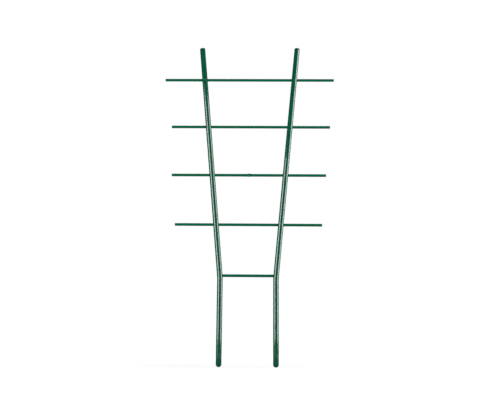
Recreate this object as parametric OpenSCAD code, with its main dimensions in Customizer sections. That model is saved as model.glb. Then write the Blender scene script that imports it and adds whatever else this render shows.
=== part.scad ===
// Flat ladder trellis for a climbing plant in a pot. Two bent tube legs carry
// five cross rungs: four run through both legs, the lowest ends inside them.
// X runs along the rungs, Y is the front-to-back depth and Z is up. The origin
// is midway between the feet, level with the lowest point of their tips.

/* [Legs] */
// Overall height, from the lowest point of the tips to the top of the caps
total_h = 700; // [680:5:900]
// Distance between the two feet, centre to centre
foot_gap = 118; // [90:1:200]
// Outward lean of each leg above its bend, in degrees
lean = 5.25; // [2:0.25:9]
// Drop from the centre of the lowest rung to the corner of the bend
bend_drop = 4.3; // [3:0.1:12]
// Outside diameter of a leg over its jacket
leg_d = 12; // [11:0.5:13]
// Thickness of the plastic jacket on a leg
leg_jacket_t = 0.5; // [0.3:0.05:0.8]
// Wall of the steel tube inside a leg
tube_wall = 0.5; // [0.4:0.05:0.8]

/* [Rungs] */
// Height of the lowest rung above the lowest point of the tips
low_rung_z = 188; // [120:1:200]
// Distance from one rung to the next
rung_pitch = 109; // [80:1:112]
// Length of a through rung beyond the centreline of a leg
overhang = 88; // [40:1:140]
// Outside diameter of a rung over its jacket
rung_d = 6; // [5.2:0.1:6.4]
// Diameter of the steel wire inside a rung
wire_d = 5; // [3.8:0.1:5]
// Thickness of plastic over the end of each wire
end_skin = 0.8; // [0.4:0.1:2]
// Edge radius of a rung's closed end
end_round = 1.2; // [0.4:0.1:1.3]
// How much shorter the left end of the second rung is cut
short_cut = 7.2; // [0:0.2:20]
// Depth of the lowest rung past the centreline of each leg
blind_depth = 3; // [0:0.1:3.2]

/* [Caps and tips] */
// Straight rim of a top cap
rim_h = 1.5; // [0.5:0.1:4]
// Height of the dome on a top cap
dome_h = 3; // [1:0.1:5]
// Length of a ground tip below the tube
tip_l = 17.5; // [12:0.5:40]
// Profile radius of the tip's nose
nose_r = 6.6; // [6.5:0.1:10]
// Length of the plug stem inside the tube
stem_l = 14; // [8:1:30]
// Ribs round each plug stem
ribs = 3; // [1:1:4]
// Bite of the ribs and of the cross holes, on the radius
press = 0.05; // [0:0.01:0.1]

/* [Punch marks] */
// Radius of the ball punch that stakes each rung
punch_r = 3; // [2:0.1:3.5]
// Depth of each mark
punch_depth = 0.5; // [0.3:0.1:1]

/* [Collar] */
// Width of the small collar at the middle of the third rung
collar_w = 7; // [3:0.5:20]
// Largest diameter of the collar
collar_d = 7.6; // [7:0.1:9]
// Profile radius of the collar's crown
collar_crown = 9; // [8:1:30]

/* [Hidden] */
$fn = 96;

rungs = 5;
leg_r = leg_d / 2;
tube_r = leg_r - leg_jacket_t;
bore_r = tube_r - tube_wall;
rung_r = rung_d / 2;
wire_r = wire_d / 2;
foot_x = foot_gap / 2;
// Clearance of a rung in the soft jacket of a leg
slip = 0.05;
// The bend is slight, so its corner is closed by a ball this much over the bar
corner = 0.02;
// Length by which a cutting shape runs past what it cuts
over = 1;
// Height of a rib on a plug stem, and how far its root stands in from the bore
rib_h = 1.2;
rib_root = 0.4;

// Height of the corner of the bend
bend_z = low_rung_z - bend_drop;

// Sphere of the cap's dome, and the end of the tube measured from the corner
// of the bend along the leaning part of the leg
dome_r = (leg_r * leg_r + dome_h * dome_h) / (2 * dome_h);
tube_end = (total_h - dome_r - bend_z) / cos(lean) + dome_r - dome_h - rim_h;
nose_h = sqrt(nose_r * nose_r - (nose_r - leg_r) * (nose_r - leg_r));

green = [0, 0.33, 0.2];
cap_green = [0.07, 0.3, 0.23];
steel = [0.72, 0.73, 0.74];

// Rung 1 is the highest
function rung_z(k) = low_rung_z + (rungs - k) * rung_pitch;
// Distance of a leg's centreline from the middle of the trellis
function leg_x(z) = foot_x + (z - bend_z) * tan(lean);
// Half length of a rung
function rung_reach(k) = leg_x(rung_z(k)) + (k == rungs ? blind_depth : overhang);
// Left end of a rung
function rung_left(k) = -rung_reach(k) + (k == 2 ? short_cut : 0);

// Shapes below stand for the left leg; the right one is its mirror image.

// Solid bar along the leg, from height low to the distance high past the bend
module leg_bar(r, low, high) {
    translate([-foot_x, 0, low])
        cylinder(r = r, h = bend_z - low);
    on_lean(0) {
        sphere(r = r + corner);
        cylinder(r = r, h = high);
    }
}

// Moves its children to a distance past the corner of the bend, along the leg
module on_lean(distance) {
    translate([-foot_x, 0, bend_z])
        rotate([0, -lean, 0])
            translate([0, 0, distance])
                children();
}

// The same bar with the punch marks pressed into its front, so that jacket and
// tube keep their thickness behind each mark
module punched_bar(r, low, high) {
    difference() {
        leg_bar(r, low, high);
        for (k = [1 : rungs])
            translate([-leg_x(rung_z(k)), -leg_r - punch_r + punch_depth, rung_z(k)])
                sphere(r = punch_r + leg_r - r);
    }
}

// Holes for the rungs: right through for all but the lowest
module cross_holes(r) {
    for (k = [1 : rungs])
        translate([-leg_x(rung_z(k)), 0, rung_z(k)])
            rotate([0, 90, 0])
                translate([0, 0, k == rungs ? 0 : -2 * leg_r])
                    cylinder(r = r, h = 2 * leg_r + (k == rungs ? 0 : 2 * leg_r));
}

module leg_tube() {
    color(steel)
        difference() {
            punched_bar(tube_r, tip_l, tube_end);
            punched_bar(bore_r, tip_l - over, tube_end + over);
            cross_holes(rung_r - press);
        }
}

module leg_jacket() {
    color(green)
        difference() {
            punched_bar(leg_r, tip_l, tube_end);
            punched_bar(tube_r, tip_l - over, tube_end + over);
            cross_holes(rung_r + slip);
        }
}

// Ribbed stem that is driven into the end of a tube, pointing up
module plug_stem() {
    cylinder(r = bore_r - rib_root, h = stem_l);
    for (i = [1 : ribs])
        translate([0, 0, i * stem_l / (ribs + 0.5) - rib_h])
            cylinder(r = bore_r + press, h = rib_h);
}

module top_cap() {
    color(cap_green)
        on_lean(tube_end) {
            intersection() {
                translate([0, 0, rim_h + dome_h - dome_r])
                    sphere(r = dome_r);
                cylinder(r = leg_r, h = rim_h + dome_h);
            }
            mirror([0, 0, 1])
                plug_stem();
        }
}

module ground_tip() {
    color(cap_green)
        translate([-foot_x, 0, 0]) {
            rotate_extrude()
                intersection() {
                    translate([leg_r - nose_r, nose_h])
                        circle(r = nose_r);
                    square([leg_r, nose_h]);
                }
            translate([0, 0, nose_h])
                cylinder(r = leg_r, h = tip_l - nose_h);
            translate([0, 0, tip_l])
                plug_stem();
        }
}

// Places its children along X, starting at the left end of rung k
module on_rung(k) {
    translate([rung_left(k), 0, rung_z(k)])
        rotate([0, 90, 0])
            children();
}

module rung_wire(k) {
    color(steel)
        on_rung(k)
            translate([0, 0, end_skin])
                cylinder(r = wire_r, h = rung_reach(k) - rung_left(k) - 2 * end_skin);
}

module rung_jacket(k) {
    length = rung_reach(k) - rung_left(k);
    color(green)
        on_rung(k)
            difference() {
                rotate_extrude() {
                    square([rung_r - end_round, length]);
                    translate([0, end_round])
                        square([rung_r, length - 2 * end_round]);
                    for (z = [end_round, length - end_round])
                        translate([rung_r - end_round, z])
                            circle(r = end_round);
                }
                translate([0, 0, end_skin])
                    cylinder(r = wire_r, h = length - 2 * end_skin);
            }
}

module rung_collar() {
    color(green)
        translate([0, 0, rung_z(3)])
            rotate([0, 90, 0])
                difference() {
                    rotate_extrude()
                        intersection() {
                            translate([collar_d / 2 - collar_crown, 0])
                                circle(r = collar_crown);
                            translate([0, -collar_w / 2])
                                square([collar_d, collar_w]);
                        }
                    cylinder(r = rung_r - press, h = collar_w + over, center = true);
                }
}

leg_tube();  // left_leg_tube
leg_jacket();  // left_leg_jacket
top_cap();  // left_top_cap
ground_tip();  // left_ground_tip
mirror([1, 0, 0]) leg_tube();  // right_leg_tube
mirror([1, 0, 0]) leg_jacket();  // right_leg_jacket
mirror([1, 0, 0]) top_cap();  // right_top_cap
mirror([1, 0, 0]) ground_tip();  // right_ground_tip
for (k = [1 : rungs]) {
    rung_wire(k);
    rung_jacket(k);
}
rung_collar();  // rung_3_collar
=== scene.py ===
import bpy
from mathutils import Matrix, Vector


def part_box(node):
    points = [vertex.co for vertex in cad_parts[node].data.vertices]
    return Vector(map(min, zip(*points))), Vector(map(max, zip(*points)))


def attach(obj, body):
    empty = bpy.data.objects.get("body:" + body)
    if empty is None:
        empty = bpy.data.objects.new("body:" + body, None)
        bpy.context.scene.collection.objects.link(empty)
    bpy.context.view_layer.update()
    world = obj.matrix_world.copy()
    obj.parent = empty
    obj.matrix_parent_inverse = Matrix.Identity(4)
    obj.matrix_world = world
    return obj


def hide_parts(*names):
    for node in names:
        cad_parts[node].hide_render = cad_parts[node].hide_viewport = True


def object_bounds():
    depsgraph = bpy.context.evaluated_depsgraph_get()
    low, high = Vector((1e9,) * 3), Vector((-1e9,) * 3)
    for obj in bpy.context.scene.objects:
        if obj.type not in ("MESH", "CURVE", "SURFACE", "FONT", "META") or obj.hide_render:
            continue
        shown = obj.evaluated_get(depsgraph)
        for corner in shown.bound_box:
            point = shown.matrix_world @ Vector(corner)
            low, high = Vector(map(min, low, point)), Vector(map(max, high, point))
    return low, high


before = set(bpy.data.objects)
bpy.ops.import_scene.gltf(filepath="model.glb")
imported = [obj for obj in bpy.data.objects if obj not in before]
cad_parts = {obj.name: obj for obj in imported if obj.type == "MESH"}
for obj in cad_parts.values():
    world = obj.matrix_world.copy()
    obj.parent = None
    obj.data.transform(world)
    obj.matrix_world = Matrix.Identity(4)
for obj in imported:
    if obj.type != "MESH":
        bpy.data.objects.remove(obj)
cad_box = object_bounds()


class Signal:
    """One output of a shader node. Arithmetic on signals adds Math nodes."""

    def __init__(self, socket):
        self.socket = socket

    def node(self, kind, settings, inputs, output=0):
        """Adds any other node: its settings first, then the values or signals of its sockets."""
        tree = self.socket.id_data
        made = tree.nodes.new("ShaderNode" + kind)
        for name, value in settings.items():
            setattr(made, name, value)
        for name, value in inputs.items():
            if isinstance(value, Signal):
                tree.links.new(value.socket, made.inputs[name])
            else:
                made.inputs[name].default_value = value
        return Signal(made.outputs[output])

    def math(self, operation, first, second):
        return self.node("Math", {"operation": operation}, {0: first, 1: second})

    def __add__(self, other):
        return self.math("ADD", self, other)

    def __sub__(self, other):
        return self.math("SUBTRACT", self, other)

    def __rsub__(self, other):
        return self.math("SUBTRACT", other, self)

    def __mul__(self, other):
        return self.math("MULTIPLY", self, other)

    __radd__ = __add__
    __rmul__ = __mul__

    def stretched(self, x, y, z):
        """Coordinates multiplied along each axis: the number of grains in a metre."""
        return self.node("VectorMath", {"operation": "MULTIPLY"}, {0: self, 1: (x, y, z)})

    def grain(self, detail=2.0):
        """Noise from 0 to 1, one grain to each unit of these coordinates."""
        return self.node("TexNoise", {}, {"Vector": self, "Scale": 1.0, "Detail": detail})

    def above(self, low, high):
        """A mask that rises from 0 at low to 1 at high."""
        return self.node("MapRange", {}, {0: self, 1: low, 2: high})

    def over(self, colour, other):
        """The other colour laid over a colour, as far as this mask is 1."""
        return self.node("Mix", {"data_type": "RGBA"}, {0: self, 6: colour, 7: (*other, 1.0)}, 2)

    def between(self, dark, light):
        """The colour this signal stands for, from dark at 0 to light at 1."""
        colours = {0: self, 6: (*dark, 1.0), 7: (*light, 1.0)}
        return self.node("Mix", {"data_type": "RGBA"}, colours, 2)

    def goes_to(self, socket):
        """Links this signal to a socket of a node that is already there."""
        self.socket.id_data.links.new(self.socket, socket)


def new_finish(name, **constants):
    """A material, its Principled shader with constant sockets set, and its coordinates."""
    material = bpy.data.materials.new(name)
    material.use_nodes = True
    shader = material.node_tree.nodes["Principled BSDF"]
    for socket, value in constants.items():
        shader.inputs[socket.replace("_", " ")].default_value = value
    coordinates = material.node_tree.nodes.new("ShaderNodeTexCoord")
    return material, shader, Signal(coordinates.outputs["Object"])


def relief(height, depth, shader):
    """Bumps the surface by a height from 0 to 1 that is depth metres deep."""
    bump = height.node("Bump", {}, {"Strength": 1.0, "Distance": depth, "Height": height})
    bump.goes_to(shader.inputs["Normal"])


def coat_cad(node, material):
    """Gives a CAD solid that is shown as it is its one material."""
    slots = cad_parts[node].data.materials
    slots.clear()
    slots.append(material)


zinc, zinc_shader, place = new_finish("galvanised_tube", Metallic=1.0)
spangle = place.stretched(900, 900, 400).grain(detail=1.0)
spangle.between((0.42, 0.43, 0.45), (0.72, 0.72, 0.73)).goes_to(zinc_shader.inputs["Base Color"])
(0.28 + 0.22 * spangle).goes_to(zinc_shader.inputs["Roughness"])
relief(place.stretched(3000, 3000, 60).grain(), 2e-6, zinc_shader)
for side in ("left", "right"):
    coat_cad(f"{side}_leg_tube", zinc)

# --- Green jackets of the legs
# Plastic extruded round each tube, 0.5 mm thick and glossy. It is drilled with the tube,
# and a punch mark on the front stakes each rung: a paler green is painted round it as a highlight.
import math

RUNGS = 5
LEAN = math.radians(5.25)
# From the lowest rung down to the corner that the two straight parts would make
BEND_DROP = 0.0043
BEND_RADIUS = 0.080

tip_low, tip_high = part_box("right_ground_tip")
jacket_low, jacket_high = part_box("right_leg_jacket")
tube_low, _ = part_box("right_leg_tube")
foot_x = (tip_low.x + tip_high.x) / 2
leg_r = (tip_high.x - tip_low.x) / 2
jacket_wall = tube_low.x - jacket_low.x
rung_boxes = {k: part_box(f"rung_{k}_jacket") for k in range(1, RUNGS + 1)}
rung_z = {k: (low.z + high.z) / 2 for k, (low, high) in rung_boxes.items()}
rung_r = (rung_boxes[1][1].z - rung_boxes[1][0].z) / 2

bend_z = rung_z[RUNGS] - BEND_DROP
bend_tangent = BEND_RADIUS * math.tan(LEAN / 2)
bend_start = bend_z - bend_tangent - jacket_low.z
bend_end = bend_start + BEND_RADIUS * LEAN
past_corner = (jacket_high.z - bend_z - leg_r * math.sin(LEAN)) / math.cos(LEAN)
leg_length = bend_end + past_corner - bend_tangent


def leg_line(s):
    """Centre of the right leg and its lean, at s metres above the foot of its jacket."""
    if s <= bend_start:
        return foot_x, jacket_low.z + s, 0.0
    bent = min((s - bend_start) / BEND_RADIUS, LEAN)
    x = foot_x + BEND_RADIUS * (1 - math.cos(bent))
    z = jacket_low.z + bend_start + BEND_RADIUS * math.sin(bent)
    rest = max(s - bend_end, 0.0)
    return x + rest * math.sin(bent), z + rest * math.cos(bent), bent


def crossing(k):
    """How far up the leg rung k crosses it."""
    return bend_end + (rung_z[k] - bend_z) / math.cos(LEAN) - bend_tangent


# The jacket's mesh has rings of cells. Round each rung its rings are closer together, and
# a square patch of cells is drawn in to the edge of each cross hole.
COLUMNS = 64
HOLE_CELLS = 5
PATCH_CELLS = 8
PATCH_ROW = 0.00055
PLAIN_ROW = 0.004
BEND_ROW = 0.001
BEND_MARGIN = 0.02
HOLE_SLIP = 0.00005
hole_r = rung_r + HOLE_SLIP


def leg_rows():
    """Heights of the jacket's rings, each with its rung and its place in the patch, if any."""
    fine = {}
    for k in range(1, RUNGS + 1):
        for j in range(-PATCH_CELLS, PATCH_CELLS + 1):
            fine[crossing(k) + j * PATCH_ROW] = (k, j)
    rows = sorted(fine)
    spans = zip([0.0] + rows, rows + [leg_length])
    extra = [0.0, leg_length]
    for low, high in spans:
        # A patch has all its rings already
        if high - low < 1.5 * PATCH_ROW:
            continue
        near_bend = low < bend_end and high > bend_start - BEND_MARGIN
        count = math.ceil((high - low) / (BEND_ROW if near_bend else PLAIN_ROW))
        extra += [low + (high - low) * i / count for i in range(1, count)]
    return [(s, fine.get(s)) for s in sorted(rows + extra)]


def hole_rim(across, up, radius, outer):
    """Where the edge of a cross hole lies on the leg: turn and rise from the crossing."""
    swing = math.asin(hole_r * across / radius)
    lean_shift = (1 if outer else -1) * radius * math.cos(swing) * math.sin(LEAN)
    rise = (hole_r * up + lean_shift) / math.cos(LEAN)
    return swing, rise


PUNCH_DEPTH = 0.0005
PUNCH_BALL = 0.003
PUNCH_LIP = 0.00005
LIP_REACH = 1.5
HIGHLIGHT_REACH = 1.4
FRONT = 1.5 * math.pi
punch_reach = math.sqrt(PUNCH_BALL**2 - (PUNCH_BALL - PUNCH_DEPTH) ** 2)


def punch_mark(turn, s):
    """Depth of the punch marks at a point of the leg, and how strong the painted highlight round
    them is there.
    """
    depth = punch_highlight = 0.0
    for k in range(1, RUNGS + 1):
        away = math.hypot(leg_r * (turn - FRONT), s - crossing(k))
        if away < punch_reach:
            depth = math.sqrt(PUNCH_BALL**2 - away**2) - (PUNCH_BALL - PUNCH_DEPTH)
        elif away < LIP_REACH * punch_reach:
            past_edge = (away / punch_reach - 1) / (LIP_REACH - 1)
            depth = -PUNCH_LIP * math.sin(math.pi * past_edge)
        punch_highlight = max(punch_highlight, 1 - away / (HIGHLIGHT_REACH * punch_reach))
    return depth, punch_highlight


# How far the plastic stands out at the edge of a cross hole and one, two and three cells
# further: drilling rounds the edge and pushes up a low lip round it.
HOLE_LIP = (-0.00012, 0.00007, 0.00002, 0.0)


def jacket_skin(radius, rows):
    """One skin of the jacket: its points, ring by ring, and how strong the painted punch highlight
    is at each.
    """
    points, punch_highlights = [], []
    for s, patch in rows:
        for i in range(COLUMNS):
            turn = 2 * math.pi * i / COLUMNS
            height = s
            lip = 0.0
            for centre, outer in ((0, True), (COLUMNS // 2, False)):
                if patch is None or (outer and patch[0] == RUNGS):
                    continue
                du = (i - centre + COLUMNS // 2) % COLUMNS - COLUMNS // 2
                dv = patch[1]
                ring = max(abs(du), abs(dv))
                if ring > PATCH_CELLS or ring == 0:
                    continue
                out = max(0.0, (ring - HOLE_CELLS) / (PATCH_CELLS - HOLE_CELLS))
                length = math.hypot(du, dv)
                swing, rise = hole_rim(du / length, dv / length, radius, outer)
                grow = PATCH_CELLS / ring
                square_turn = du * grow * 2 * math.pi / COLUMNS
                square_rise = dv * grow * PATCH_ROW
                turn = 2 * math.pi * centre / COLUMNS + swing * (1 - out) + square_turn * out
                height = crossing(patch[0]) + rise * (1 - out) + square_rise * out
                lip = HOLE_LIP[max(0, ring - HOLE_CELLS)]
            depth, punch_highlight = punch_mark(turn % (2 * math.pi), height)
            x, z, lean = leg_line(height)
            r = radius + lip - depth
            points.append((
                x + r * math.cos(turn) * math.cos(lean),
                r * math.sin(turn),
                z - r * math.cos(turn) * math.sin(lean),
            ))
            punch_highlights.append(punch_highlight)
    return points, punch_highlights


def in_hole(patch, i):
    """Is the cell above this ring and past column i inside a cross hole?"""
    if patch is None or not -HOLE_CELLS <= patch[1] < HOLE_CELLS:
        return False
    inner = abs(i + 0.5 - COLUMNS / 2) < HOLE_CELLS
    outer = abs((i + 0.5 + COLUMNS / 2) % COLUMNS - COLUMNS / 2) < HOLE_CELLS
    return inner or (outer and patch[0] != RUNGS)


def closed_shell(outer, inner, cells):
    """Points and faces of a shell: the cells of its two skins, walled wherever they end."""
    offset = len(outer)
    faces = [tuple(c) for c in cells]
    faces += [tuple(v + offset for v in reversed(c)) for c in cells]
    edges = set()
    for c in cells:
        for a, b in zip(c, c[1:] + c[:1]):
            edges.add((a, b))
    for a, b in edges:
        if (b, a) not in edges:
            faces.append((b, a, a + offset, b + offset))
    return outer + inner, faces


SHARP_EDGE = math.radians(40)


def new_piece(name, points, faces, material, slot, *nodes):
    """A mesh piece on the root body that stands for its CAD nodes, and the points it uses."""
    mesh = bpy.data.meshes.new(name)
    used = sorted({v for f in faces for v in f})
    number = {v: n for n, v in enumerate(used)}
    mesh.from_pydata([points[v] for v in used], [], [[number[v] for v in f] for f in faces])
    mesh.polygons.foreach_set("use_smooth", [True] * len(mesh.polygons))
    mesh.set_sharp_from_angle(angle=SHARP_EDGE)
    mesh.materials.append(material)
    piece = bpy.data.objects.new(name, mesh)
    bpy.context.scene.collection.objects.link(piece)
    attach(piece, "root")
    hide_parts(*nodes)
    return piece, used


def mark(piece, used, name, values):
    """Keeps a value at each point of a piece, for its material."""
    attribute = piece.data.attributes.new(name, "FLOAT", "POINT")
    attribute.data.foreach_set("value", [values[v] for v in used])


def marked(place, name):
    """Reads a value kept at the points of a piece."""
    return place.node("Attribute", {"attribute_name": name}, {}, "Fac")


jacket_green, jacket_shader, place = new_finish("leg_jacket_plastic", IOR=1.5, Coat_Roughness=0.04)
cloud = place.stretched(14, 14, 5).grain(detail=3.0)
streak = place.stretched(1600, 1600, 9).grain(detail=1.0)
rubbed = place.stretched(500, 500, 70).grain(detail=4.0).above(0.60, 0.70)
dust = place.stretched(3600, 3600, 3600).grain(detail=0.0).above(0.77, 0.83)
punch_highlight = marked(place, "punch_highlight")
skin = cloud.between((0.0, 0.084, 0.040), (0.0, 0.112, 0.052))
# Painted highlight: a paler green round each punch mark
skin = (punch_highlight * 0.7).over(skin, (0.01, 0.30, 0.17))
skin = (dust * 0.4).over(skin, (0.10, 0.20, 0.15))
skin.goes_to(jacket_shader.inputs["Base Color"])
gloss = 0.07 + 0.05 * streak + 0.03 * cloud + 0.06 * punch_highlight
(gloss + 0.10 * rubbed + 0.2 * dust).goes_to(jacket_shader.inputs["Roughness"])
(0.60 - 0.30 * rubbed).goes_to(jacket_shader.inputs["Coat Weight"])
peel = place.stretched(900, 900, 600).grain(detail=2.0)
relief(peel * 0.8 + streak * 0.2, 1.2e-5, jacket_shader)

rows = leg_rows()
cells = []
for j in range(len(rows) - 1):
    for i in range(COLUMNS):
        if not in_hole(rows[j][1], i):
            beside = (i + 1) % COLUMNS
            below, above = j * COLUMNS, (j + 1) * COLUMNS
            cells.append([below + i, below + beside, above + beside, above + i])
outer_skin, punch_highlights = jacket_skin(leg_r, rows)
inner_skin, _ = jacket_skin(leg_r - jacket_wall, rows)
right_points, shell_faces = closed_shell(outer_skin, inner_skin, cells)
for side, name in ((1, "right"), (-1, "left")):
    points = [(side * x, y, z) for x, y, z in right_points]
    faces = [f[::side] for f in shell_faces]
    jacket, used = new_piece(
        f"{name}_leg_jacket_skin", points, faces, jacket_green, "leg_jacket", f"{name}_leg_jacket"
    )
    mark(jacket, used, "punch_highlight", punch_highlights + punch_highlights)

# --- Caps on top of the legs
# Moulded plastic plugs, satin and a little greyer than the jackets: a low dome on a
# short rim, and a ribbed stem that is driven into the tube.
from mathutils import Matrix, Vector

TURN_STEPS = 48
TUBE_WALL = 0.0005
STEM_LENGTH = 0.014
STEM_INSET = 0.0004
STEM_CHAMFER = 0.0006
RIB_COUNT = 3
RIB_HEIGHT = 0.0012
RIB_LEAD = 0.4
bore_r = leg_r - jacket_wall - TUBE_WALL


def arc(centre_r, centre_z, radius, start, end, steps=8):
    """Points of an arc in a turned outline; angles in degrees from the outward direction."""
    turns = [math.radians(start + (end - start) * i / steps) for i in range(steps + 1)]
    return [(centre_r + radius * math.cos(t), centre_z + radius * math.sin(t)) for t in turns]


def turned(outline, steps=TURN_STEPS):
    """Points and faces of an outline turned round the Z axis; it starts and ends on the axis."""
    points = [(0.0, 0.0, outline[0][1])]
    for r, z in outline[1:-1]:
        for i in range(steps):
            a = 2 * math.pi * i / steps
            points.append((r * math.cos(a), r * math.sin(a), z))
    points.append((0.0, 0.0, outline[-1][1]))
    faces = []
    rings = len(outline) - 2
    for i in range(steps):
        beside = (i + 1) % steps
        faces.append((0, 1 + beside, 1 + i))
        for j in range(rings - 1):
            a, b = 1 + j * steps, 1 + (j + 1) * steps
            faces.append((a + i, a + beside, b + beside, b + i))
        last = 1 + (rings - 1) * steps
        faces.append((last + i, last + beside, len(points) - 1))
    return points, faces


def stem_outline():
    """Ribbed stem of a plug, pointing down from its shoulder, from the axis outwards."""
    root = bore_r - STEM_INSET
    outline = [(0.0, -STEM_LENGTH), (root - STEM_CHAMFER, -STEM_LENGTH)]
    outline.append((root, -STEM_LENGTH + STEM_CHAMFER))
    for i in range(RIB_COUNT, 0, -1):
        low = -i * STEM_LENGTH / (RIB_COUNT + 0.5)
        outline += [(root, low), (bore_r, low + RIB_LEAD * RIB_HEIGHT)]
        outline += [(bore_r, low + RIB_HEIGHT), (root, low + RIB_HEIGHT)]
    return outline + [(root, 0.0)]


def placed(points, matrix):
    """The points moved to where the matrix seats them."""
    return [tuple(matrix @ Vector(p)) for p in points]


plug_green, plug_shader, place = new_finish(
    "moulded_plug_plastic", IOR=1.5, Specular_IOR_Level=0.12
)
cloud = place.stretched(60, 60, 60).grain(detail=3.0)
scratch = place.stretched(1300, 1300, 110).grain(detail=2.0).above(0.62, 0.70)
skin = cloud.between((0.002, 0.076, 0.046), (0.004, 0.094, 0.057))
(scratch * 0.25).over(skin, (0.02, 0.16, 0.11)).goes_to(plug_shader.inputs["Base Color"])
(0.46 + 0.12 * cloud + 0.12 * scratch).goes_to(plug_shader.inputs["Roughness"])
# A fine raised line shows where the two halves of the mould met
side_of_mould = place.node("SeparateXYZ", {}, {0: place}, 1)
parting = side_of_mould.math("ABSOLUTE", side_of_mould, 0.0).above(0.00016, 0.00006)
texture = place.stretched(2600, 2600, 2600).grain(detail=2.0)
relief(texture * 0.6 + parting - 0.3 * scratch, 2.5e-5, plug_shader)

# A fine groove shows where a plug meets its jacket
GROOVE_DEPTH = 0.00035
GROOVE_FLAT = 0.0003
GROOVE_TOP = 0.00055
shoulder = stem_outline() + [(leg_r - GROOVE_DEPTH, 0.0)]
shoulder += [(leg_r - GROOVE_DEPTH, GROOVE_FLAT), (leg_r, GROOVE_TOP)]

# The dome is a wide arc that runs into a tighter one at the rim, with a gate mark on top
CAP_HEIGHT = 0.0045
CORNER_ROUND = 0.0020
CORNER_DROP = 0.0028
DOME_END = 85
GATE_RADIUS = 0.0009
GATE_BEVEL = 0.0002
GATE_DEPTH = 0.00012
reach = leg_r - CORNER_ROUND
crown_r = (reach**2 + CORNER_DROP**2 - CORNER_ROUND**2) / (2 * (CORNER_DROP - CORNER_ROUND))
meet = math.degrees(math.asin(reach / (crown_r - CORNER_ROUND)))
gate_z = CAP_HEIGHT - GATE_DEPTH
cap_outline = shoulder + arc(reach, CAP_HEIGHT - CORNER_DROP, CORNER_ROUND, 0, 90 - meet)
cap_outline += arc(0.0, CAP_HEIGHT - crown_r, crown_r, 90 - meet, DOME_END, 6)[1:]
cap_outline += [(GATE_RADIUS, CAP_HEIGHT), (GATE_RADIUS - GATE_BEVEL, gate_z), (0.0, gate_z)]
cap_points, cap_faces = turned(cap_outline)
for side, name in ((1, "right"), (-1, "left")):
    x, z, lean = leg_line(leg_length)
    seat = Matrix.Translation((side * x, 0, z)) @ Matrix.Rotation(side * lean, 4, "Y")
    points = placed(cap_points, seat)
    new_piece(
        f"{name}_top_plug", points, cap_faces, plug_green, "moulded_plug", f"{name}_top_cap"
    )

# --- Ground tips
# Bullet-shaped plugs of the same satin plastic, flush with the jacket, that let the
# feet slip into the soil and keep it out of the tubes.
NOSE_HEIGHT = 0.0062
NOSE_FLAT = 0.0006
NOSE_CROWN = 0.00004
NOSE_STEPS = 12
tip_length = jacket_low.z - tip_low.z

tip_outline = [(0.0, 0.0), (NOSE_FLAT, NOSE_CROWN)]
for i in range(1, NOSE_STEPS + 1):
    t = math.radians(90 * i / NOSE_STEPS)
    r = NOSE_FLAT + (leg_r - NOSE_FLAT) * math.sin(t)
    tip_outline.append((r, NOSE_HEIGHT * (1 - math.cos(t))))
tip_outline += [(r, tip_length - z) for r, z in reversed(shoulder)]
tip_points, tip_faces = turned(tip_outline)
for side, name in ((1, "right"), (-1, "left")):
    seat = Matrix.Translation((side * foot_x, 0, tip_low.z))
    points = placed(tip_points, seat)
    new_piece(
        f"{name}_ground_plug", points, tip_faces, plug_green, "moulded_plug", f"{name}_ground_tip"
    )

# --- Steel wires of the rungs
# Drawn steel wire, 5 mm thick, cut to length and wholly inside its jacket. The marks of
# drawing run along it.
wire_steel, wire_shader, place = new_finish("drawn_wire", Metallic=1.0)
draw = place.stretched(12, 4000, 4000).grain(detail=1.0)
draw.between((0.40, 0.40, 0.41), (0.62, 0.62, 0.62)).goes_to(wire_shader.inputs["Base Color"])
(0.30 + 0.15 * draw).goes_to(wire_shader.inputs["Roughness"])
relief(draw, 3e-6, wire_shader)
for k in range(1, RUNGS + 1):
    coat_cad(f"rung_{k}_wire", wire_steel)

# --- Green jackets of the rungs
# A coat of the same green over each wire, closed and rounded at both ends. It is a
# little uneven in thickness, and painted shade darkens it beside the legs and the collar.
RUNG_STEPS = 32
RUNG_ROW = 0.0015
END_ROUND = 0.0011
UNEVEN = 0.00003
COLLAR_RUNG = 3
LEG_FADE = 0.0009
COLLAR_FADE = 0.0018
COLLAR_SHADE = 1.6

rung_green, rung_shader, place = new_finish(
    "rung_jacket_plastic", IOR=1.5, Specular_IOR_Level=0.25
)
cloud = place.stretched(10, 40, 40).grain(detail=3.0)
rubbed = place.stretched(90, 600, 600).grain(detail=4.0).above(0.60, 0.70)
painted_shade = marked(place, "painted_shade")
skin = cloud.between((0.0, 0.120, 0.056), (0.0, 0.148, 0.070))
# Painted shade: near black where the rung meets the legs and the collar
skin = (painted_shade * 0.8).over(skin, (0.0, 0.012, 0.005))
skin.goes_to(rung_shader.inputs["Base Color"])
(0.13 + 0.05 * cloud + 0.2 * painted_shade + 0.10 * rubbed).goes_to(rung_shader.inputs["Roughness"])
ripple = place.stretched(800, 1000, 1000).grain(detail=2.0)
relief(ripple, 1.2e-5, rung_shader)

collar_low, collar_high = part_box("rung_3_collar")
leg_at = {k: leg_line(crossing(k))[0] for k in range(1, RUNGS + 1)}


def painted_shade_at(k, x):
    """How much painted shade darkens a rung beside its legs and the collar, from 0 to 1."""
    beside_leg = abs(abs(abs(x) - leg_at[k]) - leg_r)
    shade = math.exp(-beside_leg / LEG_FADE)
    if k == COLLAR_RUNG:
        beside_collar = abs(abs(x) - collar_high.x)
        shade = max(shade, COLLAR_SHADE * math.exp(-beside_collar / COLLAR_FADE))
    return min(shade, 1.0)


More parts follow.
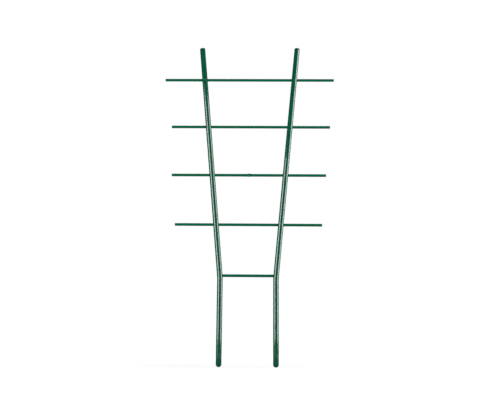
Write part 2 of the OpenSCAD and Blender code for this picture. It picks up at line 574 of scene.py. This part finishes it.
for k in range(1, RUNGS + 1):
    low, high = rung_boxes[k]
    length = high.x - low.x
    wire_low, wire_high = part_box(f"rung_{k}_wire")
    wire_r = (wire_high.z - wire_low.z) / 2
    outline = [(0.0, 0.0)] + arc(rung_r - END_ROUND, END_ROUND, END_ROUND, -90, 0, 6)
    count = round(length / RUNG_ROW)
    for i in range(1, count):
        z = END_ROUND + (length - 2 * END_ROUND) * i / count
        wave = math.sin(z * 190 + k * 2.1) * math.sin(z * 71 + k)
        outline.append((rung_r - UNEVEN * (1 + wave), z))
    outline += arc(rung_r - END_ROUND, length - END_ROUND, END_ROUND, 0, 90, 6)
    outline.append((0.0, length))
    points, faces = turned(outline, RUNG_STEPS)
    core = [(0.0, wire_low.x - low.x), (wire_r, wire_low.x - low.x)]
    core += [(wire_r, wire_high.x - low.x), (0.0, wire_high.x - low.x)]
    core_points, core_faces = turned(core, RUNG_STEPS)
    faces += [tuple(v + len(points) for v in reversed(f)) for f in core_faces]
    points += core_points
    seat = Matrix.Translation((low.x, 0, rung_z[k])) @ Matrix.Rotation(math.pi / 2, 4, "Y")
    points = placed(points, seat)
    rung, used = new_piece(
        f"rung_{k}_jacket_skin", points, faces, rung_green, "rung_jacket", f"rung_{k}_jacket"
    )
    mark(rung, used, "painted_shade", [painted_shade_at(k, x) for x, _, _ in points])

# --- Collar of the third rung
# A small plastic bead closed round the middle of the rung: a low sleeve with a crown,
# rounded at its ends, and a narrow split at the back that lets it spring on.
bead_green, bead_shader, place = new_finish("collar_plastic", IOR=1.5, Specular_IOR_Level=0.2)
cloud = place.stretched(500, 500, 500).grain()
# Painted light: its underside is painted a brighter green, as if lit from below
height = place.node("SeparateXYZ", {}, {0: place}, 2)
painted_underlight = height.above(rung_z[COLLAR_RUNG] - 0.0010, rung_z[COLLAR_RUNG] - 0.0032)
skin = cloud.between((0.001, 0.100, 0.048), (0.004, 0.140, 0.068))
painted_underlight.over(skin, (0.01, 0.66, 0.27)).goes_to(bead_shader.inputs["Base Color"])
(0.14 + 0.06 * cloud).goes_to(bead_shader.inputs["Roughness"])
relief(cloud, 8e-6, bead_shader)

BEAD_SPLIT = math.radians(7)
BEAD_STEPS = 44
BEAD_EDGE = 0.0004
CROWN_STEPS = 8
CROWN_SHARE = 0.75
SLEEVE_SHARE = 0.1
half_w = (collar_high.x - collar_low.x) / 2
bead_r = (collar_high.z - collar_low.z) / 2
edge_r = rung_r + BEAD_EDGE

section = arc(edge_r, -half_w + BEAD_EDGE, BEAD_EDGE, 180, 270, 4)
for i in range(-CROWN_STEPS, CROWN_STEPS + 1):
    crown = max(0.0, math.cos(math.pi / 2 * i / CROWN_STEPS / CROWN_SHARE))
    lift = SLEEVE_SHARE + (1 - SLEEVE_SHARE) * crown
    section.append((edge_r + (bead_r - edge_r) * lift, half_w * i / CROWN_STEPS))
section += arc(edge_r, half_w - BEAD_EDGE, BEAD_EDGE, 90, 180, 4)
points, faces = [], []
for i in range(BEAD_STEPS + 1):
    a = BEAD_SPLIT / 2 + (2 * math.pi - BEAD_SPLIT) * i / BEAD_STEPS
    points += [(x, r * math.cos(a), rung_z[COLLAR_RUNG] + r * math.sin(a)) for r, x in section]
n = len(section)
for i in range(BEAD_STEPS):
    for j in range(n):
        beside = (j + 1) % n
        faces.append((i * n + j, (i + 1) * n + j, (i + 1) * n + beside, i * n + beside))
faces.append(tuple(range(n)))
faces.append(tuple(BEAD_STEPS * n + j for j in reversed(range(n))))
new_piece("rung_3_collar_bead", points, faces, bead_green, "collar", "rung_3_collar")

# --- Studio
# A white floor and surround. A soft box stands on each side, the left one further
# forward and lower than the right, a weaker one hangs high behind, and the room in
# front, where the camera is, is dark.
FLOOR_HALF = 6.0
FLOOR_GAP = 0.0002


def light_path(tree):
    """Clears a tree and gives whether the ray being traced comes straight from the camera."""
    tree.nodes.clear()
    return Signal(tree.nodes.new("ShaderNodeLightPath").outputs["Is Camera Ray"])


corners = [(x * FLOOR_HALF, y * FLOOR_HALF, 0) for x, y in ((-1, -1), (1, -1), (1, 1), (-1, 1))]
floor_mesh = bpy.data.meshes.new("floor")
floor_mesh.from_pydata(corners, [], [(0, 1, 2, 3)])
floor = bpy.data.objects.new("floor", floor_mesh)
floor.location.z = cad_box[0].z - FLOOR_GAP
bpy.context.scene.collection.objects.link(floor)
white = bpy.data.materials.new("white_floor")
white.use_nodes = True
seen = light_path(white.node_tree)
away = Signal(white.node_tree.nodes.new("ShaderNodeTexCoord").outputs["Object"])
away = away.node("VectorMath", {"operation": "LENGTH"}, {0: away}, "Value")
# The floor shines towards the camera alone, least near the feet, where the shadow falls
GLOW_FROM = 0.15
GLOW_TO = 1.2
NEAR_GLOW = 0.705
FAR_GLOW = 0.98
lift = away.node("MapRange", {}, {0: away, 1: GLOW_FROM, 2: GLOW_TO, 3: NEAR_GLOW, 4: FAR_GLOW})
matt = seen.node("BsdfDiffuse", {}, {"Color": (0.5, 0.5, 0.5, 1)})
glow = seen.node("Emission", {}, {"Color": (1, 1, 1, 1), "Strength": lift * seen})
both = seen.node("AddShader", {}, {0: matt, 1: glow})
out = white.node_tree.nodes.new("ShaderNodeOutputMaterial")
both.goes_to(out.inputs["Surface"])
floor_mesh.materials.append(white)

# The room is white to the camera and in reflections of what lies straight behind
ROOM_LIGHT = 0.03
world = bpy.data.worlds.new("studio")
bpy.context.scene.world = world
world.use_nodes = True
seen = light_path(world.node_tree)
rays = seen.socket.node.outputs
way = Signal(world.node_tree.nodes.new("ShaderNodeTexCoord").outputs["Generated"])
back = way.node("SeparateXYZ", {}, {0: way}, 1).above(0.88, 0.94)
mirrored = (Signal(rays["Is Glossy Ray"]) + Signal(rays["Is Transmission Ray"])) * back
strength = seen.math("MINIMUM", seen + mirrored, 1.0)
strength = seen.math("MAXIMUM", strength, ROOM_LIGHT)
sky = seen.node("Background", {}, {"Color": (1, 1, 1, 1), "Strength": strength})
out = world.node_tree.nodes.new("ShaderNodeOutputWorld")
sky.goes_to(out.inputs["Surface"])

BOX_AWAY = 2.0
# Name, first and last bearing from the trellis (0 is the camera's side), foot, top, radiance
for name, first, last, foot, top, radiance in (
    ("left_box", -34, -62, 0.06, 1.18, 8.9),
    ("right_box", 57, 97, 0.06, 1.60, 6.9),
    ("back_box", 145, 215, 1.70, 2.90, 1.6),
):
    lamp = bpy.data.lights.new(name, "AREA")
    lamp.shape = "RECTANGLE"
    lamp.size = 2 * BOX_AWAY * math.tan(math.radians(abs(last - first) / 2))
    lamp.size_y = top - foot
    lamp.energy = radiance * math.pi * lamp.size * lamp.size_y
    bearing = math.radians((first + last) / 2)
    box = bpy.data.objects.new(name, lamp)
    bpy.context.scene.collection.objects.link(box)
    box.location = (BOX_AWAY * math.sin(bearing), -BOX_AWAY * math.cos(bearing), (top + foot) / 2)
    box.rotation_euler = (math.pi / 2, 0, bearing)
    box.visible_camera = False

# --- Camera
# A 50 mm lens close to the floor, looking a little up at the trellis.
camera = bpy.data.objects.new("camera", bpy.data.cameras.new("camera"))
bpy.context.scene.collection.objects.link(camera)
camera.data.lens = 50
camera.data.sensor_width = 36
heading, upward, roll = (math.radians(d) for d in (0.976, 11.217, 0.486))
camera.matrix_world = (
    Matrix.Translation((0.0225, -1.4482, 0.0453))
    @ Matrix.Rotation(heading, 4, "Z")
    @ Matrix.Rotation(math.pi / 2 + upward, 4, "X")
    @ Matrix.Rotation(roll, 4, "Z")
)
bpy.context.scene.camera = camera
bpy.context.scene.view_settings.view_transform = "Standard"
